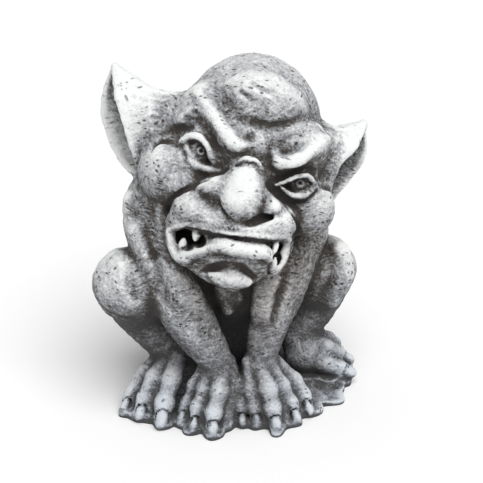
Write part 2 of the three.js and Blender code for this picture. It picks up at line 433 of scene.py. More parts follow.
def slab(at, radii, thick=BASE_THICK):
    """A flat-topped pad with an oval outline."""
    pad = lump((at[0], at[1], 0), (*radii, 400))
    pad["low"][2], pad["high"][2] = -VOXEL * 4, thick
    plan = pad["distance"]

    def distance(x, y, z):
        ragged = 1.8 * np.sin(x * 0.21 + 2 * np.sin(y * 0.11)) + 1.3 * np.sin(y * 0.3 + x * 0.09)
        return np.maximum(plan(x, y, z) + ragged, z - thick - ragged * 0.3)

    pad["distance"] = distance
    return pad


# %% The base
PADS = [
    ((0, 22), (76, 54)), ((-8, -42), (56, 28)), ((-30, -58), (26, 18)), ((20, -58), (28, 24)),
    ((-74, -26), (26, 26)), ((-82, -34), (16, 18)), ((48, -44), (18, 26)), ((66, -34), (26, 26)),
    ((78, -12), (26, 20)), ((-52, -46), (16, 18)),
]
for at, radii in PADS:
    clay.add(slab(at, radii), 6)
clay.add(slab((79, -10), (25, 21), 10), 5)
for digits in DIGITS:
    for path, thick in digits:
        x, y, _ = path[3]
        clay.add(slab((x, y), (thick * 1.2, thick * 1.15)), 3)
clay.report("the base")

# %% [markdown]
# ## The head
#
# The head is worked in its own frame, facing -Y, and its shapes are turned into place as they are added.
# The dome comes first, then one broad mass for the face, so that every feature rises only a little.

# %% The dome and the masses of the face
def put(blend, shape, *numbers):
    """Adds a shape in the frame of the head, which melts in over blend millimetres."""
    clay.add(shape(*numbers, on=HEAD), blend)


def press(blend, shape, *numbers):
    """Presses a shape in the frame of the head out of the clay."""
    clay.cut(shape(*numbers, on=HEAD), blend)


put(6, lump, (0, 8, 20), (57, 64, 61))
put(16, lump, (1, -6, -20), (60, 50, 44))
put(14, lump, (-1, -16, 8), (52, 42, 34))
put(10, lump, (-40, -12, 24), (26, 32, 24))
put(10, lump, (40, -14, 12), (24, 34, 26))
put(12, lump, (6, -37, 50), (32, 18, 20), (0, 8, 0))
put(10, roll, [(-60, -10, 28), (-62, -16, 12), (-64, -18, -4)], (11, 12, 12))
put(10, roll, [(56, -12, 22), (60, -16, 8), (62, -18, -8)], (9, 10, 10))
clay.report("the dome")

# %% [markdown]
# ## The ears
#
# Each ear is a pointed cup that opens outwards. Its two walls run from the head to the rim, and bulge on
# the way, so the cup is deep. The leaves of one ear are joined without melting, so no ribs show.

# %% Where the ears run
EARS = [
    {
        "front": [
            (-116, 3, 51), (-108, -12, 28), (-100, -18, 12), (-92, -19, -4), (-84, -14, -20), (-82, -4, -30),
        ],
        "rear": [
            (-116, 7, 51), (-121, 16, 26), (-118, 20, 4), (-108, 18, -14), (-95, 10, -28), (-84, 0, -32),
        ],
        "root_front": [(-50, -8, 32), (-58, -16, 0)], "root_rear": [(-48, 14, 30), (-50, 18, 0)],
    },
    {
        "front": [
            (89, 3, 40), (84.5, -11, 25.5), (74.5, -17.5, 12.5), (67, -18, -2), (65.5, -14, -12),
            (67, -8, -28),
        ],
        "rear": [(89, 7, 40), (94, 14, 22), (94, 17, 7), (87, 16, -8), (78, 8, -20), (70, -2, -32)],
        "root_front": [(46, -8, 32), (56, -14, 0)], "root_rear": [(44, 14, 30), (48, 18, 0)],
    },
]
print("the right ear reaches", -EARS[0]["front"][0][0], "mm from the middle of the head")


# %% One wall of an ear
def together(shapes):
    """Several shapes as one, without melting."""
    return {
        "low": np.min([s["low"] for s in shapes], axis=0),
        "high": np.max([s["high"] for s in shapes], axis=0),
        "distance": lambda x, y, z: np.minimum.reduce([s["distance"](x, y, z) for s in shapes]),
    }


SAG = 6  # how far the upper edge dips between the head and the tip
EAR_MIDDLE = 0.55  # where a wall bulges, as a share of its reach


def wall(rim, root, bulge, thick):
    """One side of an ear, from a line on the head to half of the rim, bulging by so many millimetres."""
    edge = spline(rim, 2)
    leaves = [roll(rim, [thick] * len(rim), HEAD)]
    rows = []
    for i, tip in enumerate(edge):
        foot = Vector(root[0]).lerp(Vector(root[1]), i / (len(edge) - 1))
        middle = foot.lerp(Vector(tip), EAR_MIDDLE)
        middle.y += bulge * math.sin(math.pi * (i + 1) / (len(edge) + 1))
        middle.z -= max(0, SAG - 2.5 * i)
        rows.append([foot, middle, Vector(tip)])
    for (a0, a1, a2), (b0, b1, b2) in zip(rows, rows[1:]):
        leaves += [leaf(a1, a0, b0, 4, 6, HEAD), leaf(b1, a1, b0, 4, 5, HEAD)]
        leaves += [leaf(a1, a2, b2, 4, 2.6, HEAD), leaf(a1, b1, b2, 4, 2.8, HEAD)]
    return together(leaves)


# %% The ears
for ear in EARS:
    clay.add(wall(ear["front"], ear["root_front"], -3, 2.3), 8)
    clay.add(wall(ear["rear"], ear["root_rear"], 9, 3.2), 5)
clay.report("the ears")

# %% [markdown]
# ## Brows
#
# The brows are the strongest forms of the face: the right one comes down steeply and hooks up at its inner
# end, and the left one is a leaf with a rolled lower edge. A cut under each leaves a crisp overhang.

# %% The right brow
put(10, roll, [(-42, -22, 40), (-32, -36, 30), (-22, -45, 21), (-10, -50, 16)], (12, 14, 15, 13))
press(8, roll, [(-36, -42, 56), (-25, -52, 45), (-16, -60, 36), (-8, -66, 29)], (3, 4, 3, 1.5))
RIGHT_BROW = [
    (-46, -32, 45.5), (-42, -38, 41.5), (-36, -45, 37.5), (-30, -51, 33), (-24, -57, 27), (-18, -61, 21.5),
    (-13, -63, 17.5), (-8, -62.5, 17), (-3, -60, 22),
]
put(3, roll, RIGHT_BROW, (3.5, 4.2, 4.2, 4.5, 5.2, 6, 6.4, 5.4, 4))
clay.report("the right brow")

# %% The left brow and the bridge of the nose
put(10, lump, (38, -38, 19), (23, 20, 17), (0, -28, 0))
LEFT_BROW = [
    (17, -52, 21), (18, -55, 13), (24, -59, 9), (31, -60, 10), (39, -59, 15), (46, -54, 21), (53, -44, 26),
    (57, -34, 28),
]
put(4, roll, LEFT_BROW, (3.5, 5, 6, 6.5, 6.2, 6, 6, 5))
put(6, roll, [(18, -52, 26), (25, -49, 31), (36, -44, 34), (48, -34, 34)], (3, 3.5, 4, 4))
press(5, lump, (33, -64, 24), (12, 5.2, 5), (0, -28, 0))
put(5, lump, (6, -54, 18), (8, 8, 10))
press(3, roll, [(14, -62, 28), (15, -61, 20), (15, -61, 10)], (1.5, 2.2, 2))
press(4, lump, (-2, -64, 25), (5, 5, 4))

# %% Hollows round the brows
press(4, roll, [(-47, -43, 33), (-42, -49, 30), (-37, -53, 27), (-31, -58, 21)], (1.5, 3, 3.2, 3))
press(
    5, roll, [(-13, -55, 36), (-5, -57, 35), (5, -56, 35), (15, -55, 35), (25, -53, 38), (33, -49, 44)],
    (0.8, 1.5, 1.6, 1.6, 1.5, 0.8),
)
RIGHT_SHADE = [
    (-52, -42, 26), (-44, -47, 26), (-38, -51, 24), (-31, -56, 17), (-25, -60, 9), (-20, -63, 3),
    (-14, -65, 1), (-7, -66, 4), (-3, -65, 11),
]
press(3, roll, RIGHT_SHADE, (4, 4, 3.5, 3.5, 4, 4, 3.5, 3, 1.5))
press(5, roll, [(-69, -30, 8), (-63, -32, 13), (-56, -35.5, 16.5), (-48, -42, 20)], (1.5, 2.8, 3, 2.5))
LEFT_SHADE = [
    (14, -66, 2), (18, -66, -4), (26, -64, -1), (34, -62, 4), (45, -58, 8), (52, -54, 5), (58, -49, -2),
    (62, -44, -7),
]
press(3, roll, LEFT_SHADE, (3, 4.2, 4.2, 3.7, 3.4, 3.8, 3.8, 3))
clay.report("the brows")

# %% [markdown]
# ## Eyes
#
# A lid is a shell over the eyeball. A slit is cut through it, the eyeball shows inside, and the edges of
# the slit are thickened. A valley under each lower lid comes last, once the cheeks are on.

# %% Where the eyes and their lids are
EYE = 10.5  # the radius of an eyeball
EYES = [
    {
        "at": (-37, -42.5, 5), "slit": (12, 10, 5.6), "tilt": 34, "lids": (2.9, 2.7),
        "upper": [
            (-54, -42, 7), (-50, -47, 12), (-46, -51, 16), (-40, -54, 17), (-34, -55, 13), (-29, -55, 7),
            (-25, -54, 0), (-20, -54, -5),
        ],
        "lower": [
            (-52, -44, 5), (-48, -48, 0), (-42, -51, -4), (-35, -53, -6), (-28, -55, -6.5), (-21, -57, -6),
        ],
        "under": [
            (-54, -46, 5.5), (-49.5, -50.5, 1.5), (-46, -54, -4.5), (-40, -57, -9), (-30, -59.5, -10),
            (-20, -60.5, -8), (-14, -62, -3),
        ],
    },
    {
        "at": (42, -42, -7), "slit": (12, 10, 5), "tilt": -18, "lids": (1.9, 2.2),
        "upper": [
            (24, -56, -9.5), (29, -56.5, -6.5), (35, -57, -2.5), (41, -55.5, 0.5), (47, -53, 1.2),
            (52, -50, -2.2), (56, -45.5, -8),
        ],
        "lower": [
            (28, -54.5, -10.5), (33, -54.5, -13.2), (39, -54.3, -15.5), (45, -53.5, -15),
            (50.5, -50.5, -12.5), (55, -46, -9),
        ],
        "under": [
            (28, -53, -13.5), (32, -50.5, -16), (36, -49, -19.2), (42, -48.5, -21), (48, -50, -19.5),
            (52.5, -50.5, -15.5), (57, -45.5, -10.5),
        ],
    },
]
print("the eyes sit", EYES[1]["at"][0] - EYES[0]["at"][0], "mm apart")


# %% Eyeballs and lids
def lid(edge, ends, thick):
    """A rolled lid that is thin at its two ends."""
    return roll(edge, [ends[0]] + [thick] * (len(edge) - 2) + [ends[1]], HEAD)


for eye in EYES:
    put(5, lump, Vector(eye["at"]) + Vector((0, 1, 0)), (EYE + 5, EYE + 2, EYE + 3))
for eye in EYES:
    x, y, z = eye["at"]
    press(1.5, lump, (x, y - EYE, z), eye["slit"], (0, eye["tilt"], 0))
    put(0.6, lump, eye["at"], (EYE, EYE, EYE))
    clay.add(lid(eye["upper"], (1.6, 1.2), eye["lids"][0]), 1.2)
    clay.add(lid(eye["lower"], (1.4, 1.2), eye["lids"][1]), 1.4)
clay.report("the lids")


# %% The iris and the drilled pupil
def ring(middle, facing, radius, thick):
    """A round ridge, like a hoop of thin clay, that faces a direction."""
    across = Vector(facing).normalized().to_track_quat("Y", "Z").to_matrix()
    turns = [2 * math.pi * i / 12 for i in range(13)]
    spokes = [Vector((radius * math.cos(t), 0, radius * math.sin(t))) for t in turns]
    points = [Vector(middle) + across @ spoke for spoke in spokes]
    return roll(points, [thick] * 13, on=HEAD, between=2)


LOOK = Vector((0.08, -1, 0.1)).normalized()
PUPIL = 1.5
for eye in EYES:
    front = Vector(eye["at"]) + LOOK * EYE
    clay.cut(ring(front + Vector((0, 1.4, 0)), LOOK, 4.8, 0.9), 0.8)
    press(0.8, roll, [front + Vector((0, -2, 0)), front + Vector((0, 2.2, 0))], (PUPIL, 1.3))
print("each pupil is drilled", 2 * PUPIL, "mm across")

# %% [markdown]
# ## Cheeks, nose and mouth
#
# Two ball-like cheeks are pushed up by a snarl. A deep crease parts each from the muzzle, whose two pouches
# hang over a jutting lower lip. The mouth is open only at its corners, where the teeth show.

# %% Cheeks and muzzle
put(8, lump, (-58, -27, -20), (25, 24, 26), (0, 0, -20))
put(8, lump, (-41, -38, -15), (22, 14, 13), (0, 30, 0))
put(6, lump, (-47, -43, -23), (14, 13, 13))
put(8, lump, (55, -29, -29), (21, 23, 23))
put(8, lump, (-14, -56, -22), (14, 14, 14))
put(4, lump, (-31, -47, -39), (21, 23, 17), (0, 10, 0))
put(7, lump, (-14, -54, -42), (20, 24, 14))
put(5, lump, (28, -52, -39), (18, 21, 16))
put(7, lump, (8, -58, -44), (26, 23, 12))
clay.report("the cheeks")

# %% The nose
NOSE = [(0, -50, 8), (0, -55, 1), (0, -58, -5), (0, -63, -13), (0, -68, -22), (0, -67, -29)]
put(7, roll, NOSE, (8, 11, 14, 16, 17, 14))
put(4, roll, [(-10, -63, -14), (-22, -61.5, -17.5), (-30, -57, -21)], (8, 7.5, 5.5))
put(4, roll, [(10, -62, -20), (20, -62, -24), (27, -57, -26)], (10, 8, 6))
put(2, lump, (22, -65, -25), (9.5, 8.5, 7.5))
clay.report("the nose")

# %% The jaw and the lower lip
put(8, lump, (-2, -34, -64), (41, 36, 24))
put(8, lump, (1, -54, -70), (31, 20, 15))
JAW = [
    (-44, -28, -62), (-38, -40, -74), (-26, -48, -79.5), (-12, -52, -85), (4, -54, -86), (18, -54, -79.5),
    (30, -49, -71), (38, -34, -60),
]
put(8, roll, JAW, (13, 11, 10.5, 11, 11, 10.5, 10, 11))
LOWER_LIP = [
    (-38, -55, -78), (-26, -65, -69), (-16, -71, -62), (-8, -76, -58.5), (1, -80, -58.2), (13, -80, -57.6),
    (23, -75, -58.2), (28, -70, -62), (29, -66, -66),
]
put(4, roll, LOWER_LIP, (4.5, 5.2, 5.5, 6, 6.2, 6.2, 5.5, 4.6, 3.2))
put(4, roll, [(-47, -42, -56), (-46, -44, -66), (-42, -48, -75), (-34, -54, -79)], (7, 7, 7, 6))
put(6, roll, [(40, -46, -52), (40, -50, -62), (35, -52, -75)], (5, 4.5, 5))
put(6, lump, (-41, -46, -50), (12, 14, 11))
clay.report("the jaw")

# %% The opening of the mouth
MOUTH = [
    (-42, -60, -64), (-36, -64, -62), (-27, -71, -59), (-17, -78, -56), (-6, -85, -53.5), (7, -88, -52),
    (19, -85, -51), (29, -77, -53), (37, -70, -56),
]
press(1.5, roll, MOUTH, (4, 5.5, 4.8, 2.6, 1.9, 1.6, 1.8, 3.2, 3.6))
press(1.5, roll, [(-36, -40, -63), (-37, -64, -64)], (9, 8))
press(1.5, roll, [(-29, -44, -62), (-26, -72, -60)], (7, 5))
press(1.2, roll, [(35, -78, -54), (36, -66, -61), (34, -66, -71)], (4.5, 4.8, 2.8))
press(1.5, roll, [(33, -48, -58), (35, -68, -58)], (5, 4.5))
press(1.2, roll, [(35.5, -74, -55), (35.5, -54, -67)], (4, 4))
press(1.2, roll, [(35, -72, -59), (35, -54, -70)], (4.5, 4))
press(1.2, roll, [(32.5, -70, -70), (32.5, -58, -79)], (2.6, 2))

# %% The upper lip
UPPER_LIP = [
    (-51, -50, -61), (-48, -54, -57), (-43, -60, -53), (-36, -65, -49), (-25, -71, -48), (-11, -78, -48),
    (0, -81, -47), (12, -81, -46), (25, -76, -46), (37, -66, -46), (43, -58, -50),
]
put(4, roll, UPPER_LIP, [1.4, 1.5, 1.2, 1, 0.8, 0.6, 0.6, 0.6, 0.8, 1.4, 1.4])
put(
    3, roll, [(-49, -48, -58), (-49, -50, -65), (-46, -51, -73), (-40, -55, -79), (-33, -61, -78)],
    (2, 2.2, 2.4, 2.6, 2.6),
)
clay.report("the lips")

# %% The teeth
TEETH = [
    [(-28, -58, -52), (-29, -62, -57), (-29.5, -63.5, -61), 3.7],
    [(-37, -52, -73), (-38, -56, -68), (-38, -57.5, -64), 3.9],
    [(31, -66, -51), (32, -69, -55), (31, -71, -60), 2.8],
    [(33, -60, -75), (33.5, -64, -69), (33.5, -66, -64), 2.5],
]
for root, middle, point, thick in TEETH:
    put(0.6, roll, [root, middle, point], (thick * 1.1, thick, thick * 0.5))
print("there are", len(TEETH), "teeth")

# %% The chin and the nostrils
put(4, lump, (2, -65, -85), (18, 11, 9), (0, 3, 0))
CHIN_ARCH = [
    (-20, -62, -86), (-15, -67, -80.5), (-10, -71.5, -76.5), (-4, -74, -74), (3, -75, -73), (10, -74, -74),
    (16, -70.5, -78.5), (22, -64, -84),
]
press(1.5, roll, CHIN_ARCH, (1.2, 2, 2.6, 3, 3, 2.6, 2, 1.2))
NOSTRIL = [
    (-15, -71, -26), (-12, -75, -31), (-8, -79, -36), (-2, -81, -39), (5, -80, -38.5), (11, -76, -36.5),
    (17, -71, -34.5), (23, -67, -32.5), (28, -64, -32),
]
press(2, roll, NOSTRIL, (1.2, 1.4, 1.5, 1.6, 2.2, 3.2, 4, 4, 2.6))
press(4, lump, (-24, -74, -27), (8, 5.5, 5.5), (0, 20, 0))
clay.report("the nostrils")

# %% [markdown]
# ## Creases and wrinkles
#
# A sculptor finishes with the point of a tool. The deep lines of the snarl run from the nostrils round the
# muzzle, and one runs over the left eye and one over the chin. They follow the surface closely, so each
# cut stays as deep as it is wide. The valleys under the lids are cut here too, through the cheeks.

# %% The deep lines
CREASES = [
    [
        (-28, -63, -13), (-33, -58, -17), (-37, -56, -21), (-41, -55.5, -24), (-46, -54.5, -28),
        (-50, -52, -32.5), (-53, -45, -40), (-54, -37, -48),
    ],
    [
        (22, -60, -11), (26.5, -56, -15), (31, -52.5, -20.5), (35, -55.5, -25), (39.5, -58, -29.5),
        (43.5, -55, -34.5), (46, -50, -39), (48, -46, -45), (47, -47, -54),
    ],
    [
        (22, -55.5, -7), (28, -53, -2), (34, -53, 2.5), (40, -52.5, 5.5), (46, -50.5, 6.5), (51, -47, 4),
        (56, -44, -1.5), (60, -41, -6.5), (65, -34, -9), (70, -28, -11),
    ],
    [
        (-20, -60.5, -87), (-16, -64, -82.5), (-9, -69.5, -78.5), (0, -73, -75.5), (9, -71.5, -76),
        (17, -68, -80), (22, -63, -85),
    ],
]
for eye in EYES:
    clay.cut(lid(eye["under"], (1.4, 1.2), 2.2), 1.5)
for crease in CREASES:
    press(2, roll, crease, [1.0, 1.6] + [2.0] * (len(crease) - 3) + [1.6])
print("there are", len(CREASES), "deep lines")

# %% The top of the right cheek, the bridge of the nose and the forehead
press(
    2, roll, [(-53, -47, 6), (-59, -37, 6), (-66, -32, 5), (-72, -31, 1), (-75, -36, -4)],
    (1.6, 2.4, 2.4, 2.2, 1),
)
put(1.5, roll, [(-8, -64, 4), (-4, -66, 8), (1, -67, 9), (6, -66, 8), (12, -63, 2)], (1.2, 1.8, 2, 1.8, 1.2))
press(
    2, roll, [(-9, -64, 0), (-5, -68, 4), (1, -70, 5.5), (6, -69, 4.5), (11, -66, -1)],
    (0.8, 1.2, 1.2, 1.2, 0.8),
)
press(
    2, roll, [(-14, -51, 56), (-9, -54, 53), (-2, -58, 50.5), (6, -60, 49), (13, -60, 48.5)],
    (1, 1.9, 2.7, 2.6, 1.2),
)
put(5, roll, [(-10, -46, 60), (-2, -50, 57), (6, -52, 55)], (2.5, 3, 2))
press(3, roll, [(-8, -50, 64), (0, -53, 61), (9, -54, 60)], (0.8, 1.2, 0.8))
clay.report("the forehead")

# %% Fine wrinkles and jowls
WRINKLES = [
    [(-8, -61, 39), (4, -63, 36), (18, -62, 37), (32, -57, 42)], [(-3, -63, 33), (8, -65, 31), (20, -63, 33)],
    [(20, -55, 66), (32, -52, 60), (40, -48, 50)], [(-30, -40, 62), (-24, -46, 56), (-18, -52, 48)],
]
for wrinkle in WRINKLES:
    press(3, roll, wrinkle, [0.6] + [1.1] * (len(wrinkle) - 2) + [0.6])
JOWLS = [
    [(-70, -26, -46), (-66, -28, -62), (-58, -32, -78)], [(-60, -34, -48), (-57, -34, -64), (-50, -36, -80)],
]
for fold in JOWLS:
    put(6, roll, fold, (4, 5, 4))
clay.report("the last fold")

# %% [markdown]
# ## Casting the surface
#
# OpenVDB lays a skin of four-sided faces over the grid, at the distance of zero. It is the same mesher
# that the Voxel Remesh tool uses. The foot is then cut off flat with a bisect. Blending can leave small
# bubbles inside, and those are deleted, so one closed skin is left.

# %% Find the bubbles
def loose_points(shape):
    """The points of the small bubbles that blending can leave inside, so all but the one great skin."""
    unseen = set(shape.verts)
    skins = []
    while unseen:
        skin = [unseen.pop()]
        for point in skin:
            near = [e.other_vert(point) for e in point.link_edges]
            fresh = [p for p in near if p in unseen]
            unseen.difference_update(fresh)
            skin.extend(fresh)
        skins.append(skin)
    skins.sort(key=len)
    return [point for skin in skins[:-1] for point in skin]


print("of all skins only the greatest is kept")


# %% From clay to mesh
def cast(field, name):
    """The surface of the clay as a closed mesh in metres, cut off flat at the ground."""
    grid = openvdb.FloatGrid(AIR)
    grid.copyFromArray(field)
    points, quads = grid.convertToQuads(0.0)
    points = (points * VOXEL + BLOCK_LOW) * MM
    mesh = bpy.data.meshes.new(name)
    mesh.from_pydata(points.tolist(), [], quads.tolist())
    shape = bmesh.new()
    shape.from_mesh(mesh)
    everything = shape.verts[:] + shape.edges[:] + shape.faces[:]
    ground = {"plane_co": (0, 0, 0), "plane_no": (0, 0, -1)}
    cut = bmesh.ops.bisect_plane(shape, geom=everything, clear_outer=True, **ground)
    rim = [e for e in cut["geom_cut"] if isinstance(e, bmesh.types.BMEdge)]
    bmesh.ops.holes_fill(shape, edges=rim, sides=0)
    bmesh.ops.triangulate(shape, faces=shape.faces[:])
    bmesh.ops.delete(shape, geom=loose_points(shape), context="VERTS")
    print("the cast holds", round(shape.calc_volume(signed=True) * 1e6), "cubic centimetres")
    shape.to_mesh(mesh)
    shape.free()
    piece = bpy.data.objects.new(name, mesh)
    bpy.context.scene.collection.objects.link(piece)
    return piece


gargoyle = cast(clay.field, "stone_gargoyle")
print("the skin has", len(gargoyle.data.polygons), "triangles")

# %% [markdown]
# ## Thinning, and the unevenness of a hand-made model
#
# The skin has more triangles than a part may carry, so Decimate takes the flattest away. Then every point
# is moved a little along its normal: broad waves are the modeller's thumb, and finer ones the grain.

# %% Thin the mesh
PIECE_TRIANGLES = 196000  # as many as the piece may have


def apply_modifier(piece, kind, **settings):
    """Adds one modifier with its settings, and applies it at once."""
    modifier = piece.modifiers.new(kind.title(), kind)
    for name, value in settings.items():
        setattr(modifier, name, value)
    with bpy.context.temp_override(object=piece, active_object=piece):
        bpy.ops.object.modifier_apply(modifier=modifier.name)


apply_modifier(gargoyle, "DECIMATE", ratio=min(1, PIECE_TRIANGLES / len(gargoyle.data.polygons)))
print("thinned to", len(gargoyle.data.polygons), "triangles")


# %% Roughen it
def columns(rows, name):
    """A list of points or directions as an array of three columns."""
    values = np.zeros(len(rows) * 3, np.float32)
    rows.foreach_get(name, values)
    return values.reshape(-1, 3)


WAVES = [(16.0, 0.9), (7.0, 0.6), (2.8, 0.4)]  # the size and the height of each roughness, in millimetres
places = columns(gargoyle.data.vertices, "co")
normals = columns(gargoyle.data.vertex_normals, "vector")
smooth = places / MM
heights = np.zeros(len(places), np.float32)
for size, height in WAVES:
    seen = places / (size * MM)
    heights += np.array([noise.noise(p) for p in seen.tolist()], np.float32) * height
heights *= np.clip(places[:, 2] / (3 * MM), 0, 1)  # the underside stays flat
places = places + normals * heights[:, None] * MM
gargoyle.data.vertices.foreach_set("co", places.ravel())
gargoyle.data.update()
gargoyle.data.shade_smooth()
print("the surface was moved by up to", round(float(np.abs(heights).max()), 2), "mm")

# %% [markdown]
# ## Where the wash settles, and where shade and light are painted
#
# Painters flood a stone casting with thin dark paint and wipe it, so it stays in the hollows. Blurring the
# solid shows where those are: at a flat surface half of the neighbourhood is stone, in a hollow more than
# half, and on a crest less. It is blurred over three distances, from fine creases to whole recesses. The
# material darkens the hollows by these readings, partly for the wash and partly as painted shade, most of
# all in the whole recesses, and it lightens the crests, partly as dry brush and partly as painted
# highlight. Each reading is kept on the mesh as an attribute, so the material can use it and it goes
# with the mesh.

# %% Blur the solid, and read a grid at the points of the mesh
def blurred(solid, radius):
    """A blur of so many millimetres, as three passes of a running mean along each axis."""
    reach = max(1, round(radius / VOXEL))
    for _ in range(3):
        for axis in range(3):
            widths = [(0, 0)] * 3
            widths[axis] = (reach + 1, reach)
            sums = np.cumsum(np.pad(solid, widths, mode="edge"), axis=axis, dtype=np.float64)
            length = solid.shape[axis]
            ahead = np.take(sums, np.arange(length) + 2 * reach + 1, axis=axis)
            behind = np.take(sums, np.arange(length), axis=axis)
            solid = ((ahead - behind) / (2 * reach + 1)).astype(np.float32)
    return solid


def sampled(field, points):
    """The grid's values at points in millimetres, from the eight grid points round each."""
    at = (points - BLOCK_LOW) / VOXEL
    at = np.clip(at, 0, np.array(field.shape) - 1.001)
    cell = at.astype(int)
    part = at - cell
    total = np.zeros(len(points), np.float32)
    for corner in np.ndindex(2, 2, 2):
        share = np.prod(np.where(corner, part, 1 - part), axis=1)
        total += share * field[tuple((cell + corner).T)]
    return total


# %% Fine creases, folds and whole recesses
solid = np.clip(0.5 - clay.field / VOXEL, 0, 1)
underground = int(-BLOCK_LOW[2] / VOXEL)
# Counting the ground as stone darkens the foot where it meets the ground, as wash and painted shade.
solid[:, :, :underground] = 1  # the ground counts as stone, so the foot gathers dirt
HOLLOWS = {"fine": 1.25, "fold": 3.75, "bulk": 11.0}


def keep(name, values):
    """Keeps one number for each vertex on the mesh, under a name that the material reads."""
    layer = gargoyle.data.attributes.new(name, "FLOAT", "POINT")
    layer.data.foreach_set("value", values.astype(np.float32))
    print(name, "from", round(float(values.min()), 2), "to", round(float(values.max()), 2))


for name, radius in HOLLOWS.items():
    keep(name, sampled(blurred(solid, radius), smooth) - 0.5)
keep("height", heights)
# up is how much a face looks up. The material uses it to paint light on the tops and painted shade on the
# undersides.
keep("up", normals[:, 2])

# %% [markdown]
# ## Shelter and cover, as painted shade
#
# Light reaches an open place and not one that other parts crowd round, so shade is painted there.
# Shelter is how full of stone the air is a little way out from the surface, and it darkens the stone as
# painted shade. Cover is how much stone stands overhead, and there the stone is painted darker and
# browner, as the shade under the overhang. The cups of the ears and the sockets of the eyes get more
# painted shade, and the nose a painted highlight.

# %% Shelter: painted shade where other parts crowd round
RINGS = [(8.0, 3.75), (18.0, 8.75)]  # how far out from the surface, and the blur there, in millimetres
crowding = [sampled(blurred(solid, blur), smooth + normals * out) for out, blur in RINGS]
painted_shade = np.mean(crowding, axis=0)
print("shelter is", round(float(painted_shade.mean()), 2), "on average")

# %% Painted shade in the cups of the ears
CUP_SHADE = 0.75  # how much more shelter the inside of a cup gets
CUPS = [((-104, -2, 12), (20, 24, 46), (0, -14, 0)), ((84, 0, 4), (20, 25, 38), (0, 14, 0))]
for at, radii, turn in CUPS:
    cup = lump(at, radii, turn, on=HEAD)
    inside = np.clip(-cup["distance"](*(places / MM).T) / 5, 0, 1)
    towards = np.array(HEAD @ Vector(at), np.float32) * MM - places
    towards /= np.linalg.norm(towards, axis=1, keepdims=True)
    facing = np.clip((normals * towards).sum(1) * 2.5, 0, 1)
    painted_shade += CUP_SHADE * inside * facing
print("more wash was laid in", len(CUPS), "cups")

# %% Painted shade in the sockets of the eyes, and a painted highlight on the nose
SOCKET_SHADE_AND_NOSE_HIGHLIGHT = [
    ((-38, -50, 5), (15, 12, 9), (0, 34, 0), 0.2), ((42, -51, -7), (20, 13, 15), (0, -14, 0), 0.7),
    ((-3, -73, -14), (14, 17, 21), (0, 8, 0), -0.4),
]
for at, radii, turn, dark in SOCKET_SHADE_AND_NOSE_HIGHLIGHT:
    painted_spot = lump(at, radii, turn, on=HEAD)
    painted_shade += dark * np.clip(-painted_spot["distance"](*(places / MM).T) / 5, 0, 1)
keep("painted_shade", painted_shade)

# %% Cover: painted shade under overhanging stone
FULL_COVER = 60  # so many millimetres of stone overhead count as full cover
sky = np.cumsum(solid[:, :, ::-1], axis=2)[:, :, ::-1] * VOXEL
overhead_stone = blurred(np.clip(sky / FULL_COVER, 0, 1), 9.0)
keep("overhead_shade", sampled(overhead_stone, smooth + normals * 12))

# %% [markdown]
# ## Cast stone with an aged finish, and painted shade and light
#
# Cast stone is crushed stone and cement, pressed into a mould: pale, dull and full of small air holes. Its
# IOR is near 1.55, it is not metallic, and it is very rough, so no highlight shows. The finisher floods it
# with a dark wash, wipes it, and drags a nearly dry brush of pale paint over the high places. Shade and
# light are painted into the colour as well: darker in hollows, sheltered places, under overhangs and on
# faces that look down, and paler on crests and on faces that look up. So one number, the tone, is added
# up from the readings on the mesh. Grain and holes break it up, and a ramp turns it into a colour.

# %% Colours, and one way to add a node
def colour(hex_code):
    """An sRGB hex colour as linear values."""
    parts = [int(hex_code[i : i + 2], 16) / 255 for i in (0, 2, 4)]
    return [p / 12.92 if p <= 0.04045 else ((p + 0.055) / 1.055) ** 2.4 for p in parts] + [1]


def add(kind, settings=(), **links):
    """Adds a node with its settings, and links or sets its inputs, by name or as i0, i1 and so on."""
    node = stone.node_tree.nodes.new(kind)
    for name, value in dict(settings).items():
        setattr(node, name, value)
    for name, value in links.items():
        numbered = name[0] == "i" and name[1:].isdigit()
        socket = node.inputs[int(name[1:]) if numbered else name.replace("_", " ")]
        if isinstance(value, bpy.types.NodeSocket):
            stone.node_tree.links.new(value, socket)
        else:
            socket.default_value = value
    return node


stone = bpy.data.materials.new("aged_stone_with_painted_shade")
stone.use_nodes = True
shader = stone.node_tree.nodes["Principled BSDF"]
shader.inputs["Roughness"].default_value = 0.88
shader.inputs["IOR"].default_value = 1.55
print("the finish is named", stone.name)

# %% The readings on the mesh
where = add("ShaderNodeTexCoord").outputs["Object"]
reading = {}
for name in ("fine", "fold", "bulk", "height", "up", "painted_shade", "overhead_shade"):
    reading[name] = add("ShaderNodeAttribute", {"attribute_name": name}).outputs["Fac"]
print("the finish reads", ", ".join(reading))

# %% [markdown]
# ## Patches, mottle, grit and strokes
#
# Four noises break the tone up, and each has the size of something real: patches of wear 20 mm across,
# mottle of 9 mm where the wash dried unevenly, and strokes of 5 mm from the dry brush. Grit is 1.9 mm,
# coarser than real grit of 0.5 mm, so that it shows. The strokes are squashed to half of their height and
# bent by a slow drift, so they don't all run the same way.

# %% Noises
SOFT = {"interpolation_type": "SMOOTHSTEP"}
blobs = add("ShaderNodeTexNoise", Vector=where, Scale=1 / (20 * MM), Detail=2.0, Roughness=0.6)
patches = add("ShaderNodeMapRange", SOFT, Value=blobs.outputs["Fac"], From_Min=0.44, From_Max=0.58).outputs[0]
mottle = add("ShaderNodeTexNoise", Vector=where, Scale=1 / (9 * MM), Detail=2.0, Roughness=0.5).outputs["Fac"]
grit = add("ShaderNodeTexNoise", Vector=where, Scale=1 / (1.9 * MM), Detail=2.0, Roughness=0.7).outputs["Fac"]
print("grit is", round(1.9 * MM * 1000, 2), "mm across")

